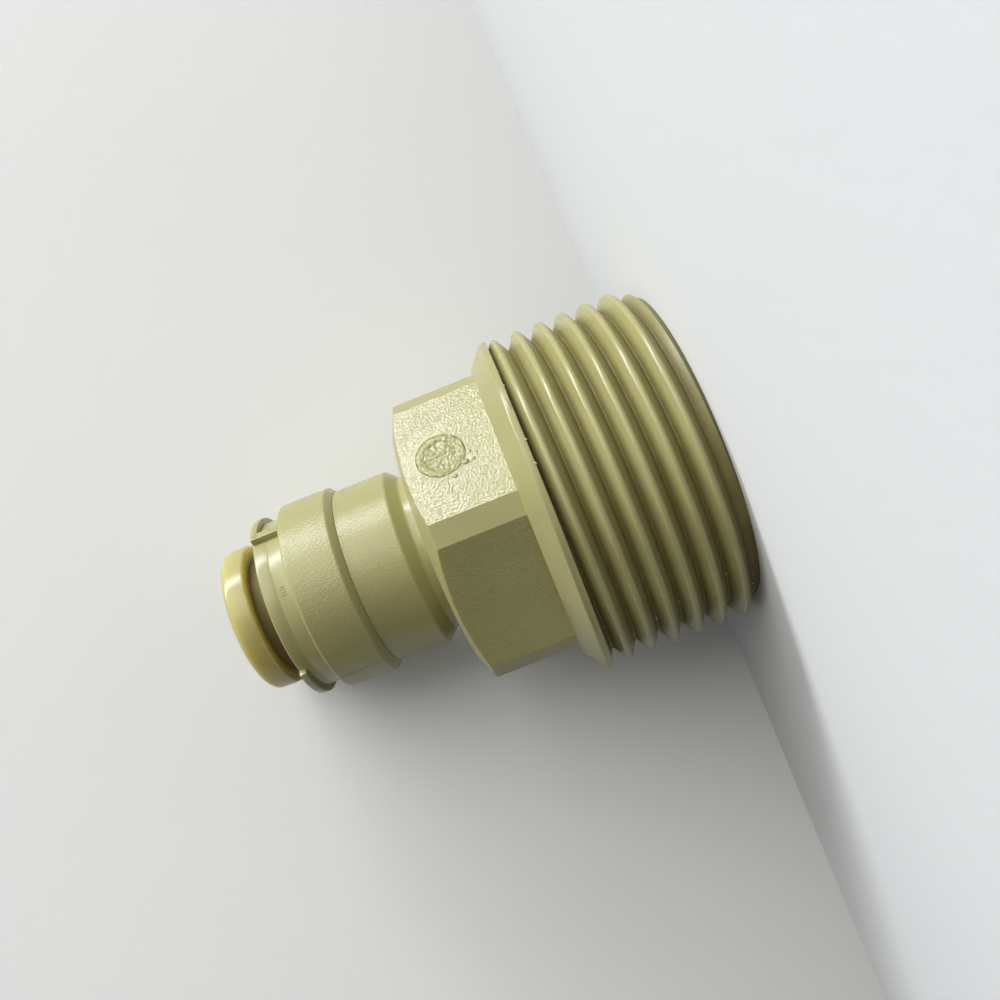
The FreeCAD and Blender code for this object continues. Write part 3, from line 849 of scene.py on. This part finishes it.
def slot_cutter(turn):
    """Slab with a round top that opens two facing gaps between the fingers."""
    half_width, half_length = 0.5, 8
    foot = FINGER_FOOT - 1
    mesh = bmesh.new()
    wire(mesh, [(half_width, foot, 0), (half_width, SLOT_TOP, 0.49),
                (-half_width, SLOT_TOP, 0.49), (-half_width, foot, 0)])
    outline = bmesh.ops.contextual_create(mesh, geom=mesh.edges[:])["faces"]
    bmesh.ops.translate(mesh, verts=mesh.verts[:], vec=(0, mm(-half_length), 0))
    slab = bmesh.ops.extrude_face_region(mesh, geom=outline, use_keep_orig=True)["geom"]
    far = [item for item in slab if isinstance(item, bmesh.types.BMVert)]
    bmesh.ops.translate(mesh, verts=far, vec=(0, mm(2 * half_length), 0))
    turn_by(mesh, turn, "Z")
    tidy(mesh)
    return mesh


def tooth_pocket(turn):
    """Room for one steel tooth in the inside of a finger."""
    sweep = 56.6
    return sector([(TUBE_BORE - 1, TOOTH_BASE), (TOOTH_BACK, TOOTH_BASE), (TOOTH_BACK, TOOTH_TOP),
                   (TUBE_BORE - 1, TOOTH_TOP)], turn - sweep / 2, sweep, 28)


def make_collet():
    mesh = turned([
        (TUBE_BORE, FINGER_FOOT, 0.1),
        (HEAD, FINGER_FOOT, 0.08),
        (HEAD, CAM_FOOT, 0.08),
        (SLEEVE, HEAD_TOP, 0),
        (SLEEVE, COLLET_BACK, 0.15),
        (LIP, COLLET_BACK, 0.15),
        (LIP, COLLET_FRONT, 0.55),
        (TUBE_BORE + 0.35, COLLET_FRONT, 0.1),
        (TUBE_BORE, COLLET_FRONT - 0.35, 0.1),
    ])
    cutters = [slot_cutter(45), slot_cutter(135), *(tooth_pocket(90 * step) for step in range(4))]
    mesh = carved(mesh, cutters)
    for face in mesh.faces:
        face.material_index = int(face.calc_center_median().z < mm(COLLET_BACK + 0.12))
    return finished(mesh, "release_collar", "release_collet", ["collet"],
                    [COLLET_ACETAL, SLEEVE_ACETAL])


# Seal and teeth

def make_seal():
    mesh = bmesh.new()
    bmesh.ops.create_circle(mesh, segments=32, radius=mm(SEAL_CORD))
    turn_by(mesh, 90, "X")
    middle = SEAL_RADIUS - 0.02 - SEAL_CORD
    bmesh.ops.translate(mesh, verts=mesh.verts[:], vec=(mm(middle), 0, mm(SEAL_MIDDLE)))
    bmesh.ops.spin(mesh, geom=mesh.verts[:] + mesh.edges[:], cent=(0, 0, 0), axis=(0, 0, 1),
                   angle=math.tau, steps=96, use_merge=True)
    tidy(mesh)
    return finished(mesh, "round_seal", "stem", ["o_ring"], [RUBBER])


make_body()
make_end_cap()
make_collet()
make_seal()
for number in range(1, 5):
    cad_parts[f"grip_tooth_{number}"].material_slots[0].material = STEEL


# Stage, light and camera

def paper(name, pale, dim, one_sided=False):
    """Matt paper, pale where it is looked at and dimmer where it only lights the part."""
    material, tree, shader, place = new_material(name)
    fibres = place_node(tree, "TexNoise", {
        "Vector": place, "Scale": 900.0, "Detail": 2.0,
    }).outputs["Fac"]
    cloud = use_effect(tree, FLOW, {"Place": place, "Size": mm(30.0)})["Tone"]
    clean = blend_colour(tree, cloud, scaled(pale, 0.985), scaled(pale, 1.0))
    rays = place_node(tree, "LightPath", {}).outputs
    looked_at = math_node(tree, "MAXIMUM", rays["Is Camera Ray"],
                          math_node(tree, "MAXIMUM", rays["Is Glossy Ray"],
                                    rays["Is Transmission Ray"]))
    colour = blend_colour(tree, looked_at, scaled(dim, 1.0), clean)
    tree.links.new(colour, shader.inputs["Base Color"])
    tree.links.new(spread(tree, fibres, 0.3, 0.7, 0.85, 0.95), shader.inputs["Roughness"])
    add_relief(tree, shader, fibres, 0.5, 0.03)
    shader.inputs["Specular IOR Level"].default_value = 0.1
    if one_sided:
        side = place_node(tree, "NewGeometry", {}).outputs["Backfacing"]
        clear = place_node(tree, "BsdfTransparent", {}).outputs["BSDF"]
        mix = place_node(tree, "MixShader", {0: side, 1: shader.outputs["BSDF"], 2: clear})
        tree.links.new(mix.outputs["Shader"], tree.nodes["Material Output"].inputs["Surface"])
    return material


def stage_sheet(name, corners, material):
    """Flat sheet of the stage, which is no part of the object."""
    mesh = bmesh.new()
    mesh.faces.new([mesh.verts.new([mm(value) for value in corner]) for corner in corners])
    sheet = loose_object(mesh, name)
    sheet.data.materials.append(material)


def backdrop_at(height):
    """Distance behind the axis of a sheet that leans on the flange's rim and the cap ring."""
    lean = (RIM - CAP) / (CAP_FRONT - LAND_TOP)
    return RIM + 0.05 - (height - LAND_TOP) * lean


DIM = (0.22, 0.22, 0.21)
FLOOR = paper("floor_paper", (0.90, 0.90, 0.89), DIM)
WALL = paper("backdrop_paper", (1.0, 1.0, 0.975), DIM, one_sided=True)
FLOOR_REACH = 400
WALL_REACH = 110
WALL_TOP = 80
stage_sheet("floor", [(-FLOOR_REACH, -FLOOR_REACH, 0), (FLOOR_REACH, -FLOOR_REACH, 0),
                      (FLOOR_REACH, FLOOR_REACH, 0), (-FLOOR_REACH, FLOOR_REACH, 0)], FLOOR)
stage_sheet("backdrop", [(-WALL_REACH, backdrop_at(0), 0), (WALL_REACH, backdrop_at(0), 0),
                         (WALL_REACH, backdrop_at(WALL_TOP), WALL_TOP),
                         (-WALL_REACH, backdrop_at(WALL_TOP), WALL_TOP)], WALL)


def lamp(name, direction, distance, width, length, power, colour):
    """Soft light, long along the part's axis, at a distance from the part's middle."""
    light = bpy.data.lights.new(name, "AREA")
    light.shape = "RECTANGLE"
    light.size = mm(width)
    light.size_y = mm(length)
    light.energy = power
    light.color = colour
    holder = bpy.data.objects.new(name, light)
    bpy.context.scene.collection.objects.link(holder)
    aim = Vector((0, 0, mm(16)))
    holder.location = aim + Vector(direction).normalized() * mm(distance)
    holder.rotation_euler = (aim - holder.location).to_track_quat("-Z", "Y").to_euler()


def sky(bright_side, low, high, seen):
    """Room light from low on its dark side to high on its bright one, even where it is seen."""
    world = bpy.data.worlds.new("studio")
    bpy.context.scene.world = world
    world.use_nodes = True
    tree = world.node_tree
    outwards = place_node(tree, "TexCoord", {}).outputs["Generated"]
    towards = place_node(tree, "VectorMath", {0: outwards, 1: bright_side},
                         operation="DOT_PRODUCT").outputs["Value"]
    share = spread(tree, towards, -1.0, 1.0)
    level = spread(tree, math_node(tree, "POWER", share, 3.5), 0.0, 1.0, low, high)
    looked_at = place_node(tree, "LightPath", {}).outputs["Is Camera Ray"]
    strength = place_node(tree, "Mix", {0: looked_at, 2: level, 3: seen}, data_type="FLOAT")
    tree.links.new(strength.outputs[0], tree.nodes["Background"].inputs["Strength"])
    tree.nodes["Background"].inputs["Color"].default_value = (0.98, 0.99, 1.0, 1.0)


def photo_camera(place, right, up):
    """The photo's camera, from its fitted place and the picture's own directions."""
    data = bpy.data.cameras.new("photo_camera")
    data.lens = 34.34
    data.sensor_width = 36
    data.clip_start = 0.001
    camera = bpy.data.objects.new("photo_camera", data)
    bpy.context.scene.collection.objects.link(camera)
    right = Vector(right).normalized()
    back = right.cross(Vector(up)).normalized()
    turn = Matrix((right, back.cross(right), back)).transposed().to_4x4()
    camera.matrix_world = Matrix.Translation([mm(value) for value in place]) @ turn
    bpy.context.scene.camera = camera


lamp("window", (0.860, -0.322, 0.40), distance=600, width=95, length=700, power=4.05,
     colour=(0.90, 0.945, 1.0))
lamp("ceiling", (0.53, -0.85, 0.12), distance=600, width=450, length=700, power=2.1,
     colour=(1.0, 0.985, 0.96))
sky(bright_side=(0.68, -0.47, 0.56), low=0.01, high=1.1, seen=0.85)
photo_camera(place=(-4.600, -73.816, 12.830), right=(-0.36685, 0.06106, -0.92827),
             up=(0.92643, -0.06667, -0.37051))
bpy.context.scene.view_settings.view_transform = "Standard"
